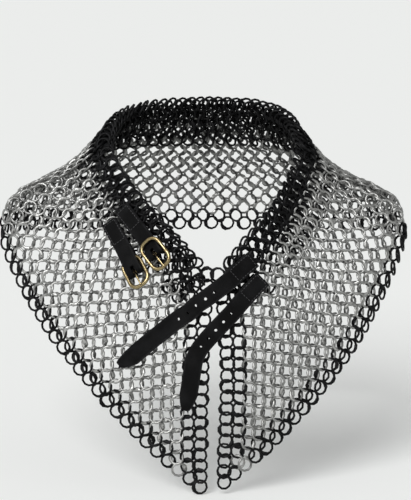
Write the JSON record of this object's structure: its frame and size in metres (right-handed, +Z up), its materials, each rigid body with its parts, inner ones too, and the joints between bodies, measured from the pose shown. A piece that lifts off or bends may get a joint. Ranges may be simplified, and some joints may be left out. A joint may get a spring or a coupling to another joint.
{
  "type": "mail collar",
  "caption": "Collar of linked steel rings with pointed lappets and dark edging, closed in front by leather straps and brass buckles.",
  "frame": {"origin": "middle of the neck opening, level with the sides of the wearer's neck", "axes": "+Z up, -Y is the way the wearer faces, +X is towards the wearer's left"},
  "size_m": [0.3353, 0.2046, 0.294],
  "materials": {
    "bright_steel": "satin drawn wire, flattened and riveted at each lap",
    "blackened_steel": "blackened steel wire, satin",
    "black_leather": "black strap leather, fine grain, matte",
    "brass": "cast brass, satin and slightly aged"
  },
  "bodies": {
    "collar": {"mail_back": "bright_steel", "mail_right": "bright_steel", "mail_left": "bright_steel", "rim_edging_back": "blackened_steel", "rim_edging_right": "blackened_steel", "rim_edging_left": "blackened_steel", "hem_edging_back": "blackened_steel", "hem_edging_right": "blackened_steel", "hem_edging_left": "blackened_steel", "front_edging_right": "blackened_steel", "front_edging_left": "blackened_steel", "upper_buckle_strap_stitched_end": "black_leather", "upper_buckle_backing": "black_leather", "lower_buckle_strap_stitched_end": "black_leather", "lower_buckle_backing": "black_leather", "upper_strap_stitched_end": "black_leather", "upper_strap_backing": "black_leather", "lower_strap_stitched_end": "black_leather", "lower_strap_backing": "black_leather"},
    "upper_buckle_strap": {"upper_buckle_strap": "black_leather"},
    "upper_buckle_frame": {"upper_buckle_frame": "brass"},
    "upper_buckle_prong": {"upper_buckle_prong": "brass"},
    "lower_buckle_strap": {"lower_buckle_strap": "black_leather", "lower_buckle_frame": "brass"},
    "lower_buckle_prong": {"lower_buckle_prong": "brass"},
    "upper_strap": {"upper_strap": "black_leather"},
    "lower_strap": {"lower_strap": "black_leather"}
  },
  "joints": [
    {"name": "upper_buckle_lift", "type": "hinge", "parent": "collar", "child": "upper_buckle_strap", "pos_m": [-0.0527, -0.05414, -0.06293], "axis": [-0.7192, 0.0641, -0.6919], "range_deg": [0, 60]},
    {"name": "upper_frame_rock", "type": "hinge", "parent": "upper_buckle_strap", "child": "upper_buckle_frame", "pos_m": [-0.0372, -0.06958, -0.08047], "axis": [0.7192, -0.0641, 0.6919], "range_deg": [0, 12]},
    {"name": "upper_prong_swing", "type": "hinge", "parent": "upper_buckle_frame", "child": "upper_buckle_prong", "pos_m": [-0.0372, -0.06958, -0.08047], "axis": [-0.7192, 0.0641, -0.6919], "range_deg": [0, 100]},
    {"name": "lower_buckle_lift", "type": "hinge", "parent": "collar", "child": "lower_buckle_strap", "pos_m": [-0.06518, -0.05362, -0.07537], "axis": [-0.8087, 0.0904, -0.5812], "range_deg": [0, 45]},
    {"name": "lower_prong_swing", "type": "hinge", "parent": "lower_buckle_strap", "child": "lower_buckle_prong", "pos_m": [-0.05274, -0.06918, -0.0951], "axis": [-0.8087, 0.0904, -0.5812], "range_deg": [0, 100]},
    {"name": "upper_strap_lift", "type": "hinge", "parent": "collar", "child": "upper_strap", "pos_m": [0.02354, -0.07849, -0.09719], "axis": [-0.6714, 0.044, 0.7398], "range_deg": [0, 60]},
    {"name": "lower_strap_lift", "type": "hinge", "parent": "collar", "child": "lower_strap", "pos_m": [0.03213, -0.08041, -0.11361], "axis": [-0.7261, 0.0238, 0.6872], "range_deg": [0, 60]}
  ]
}
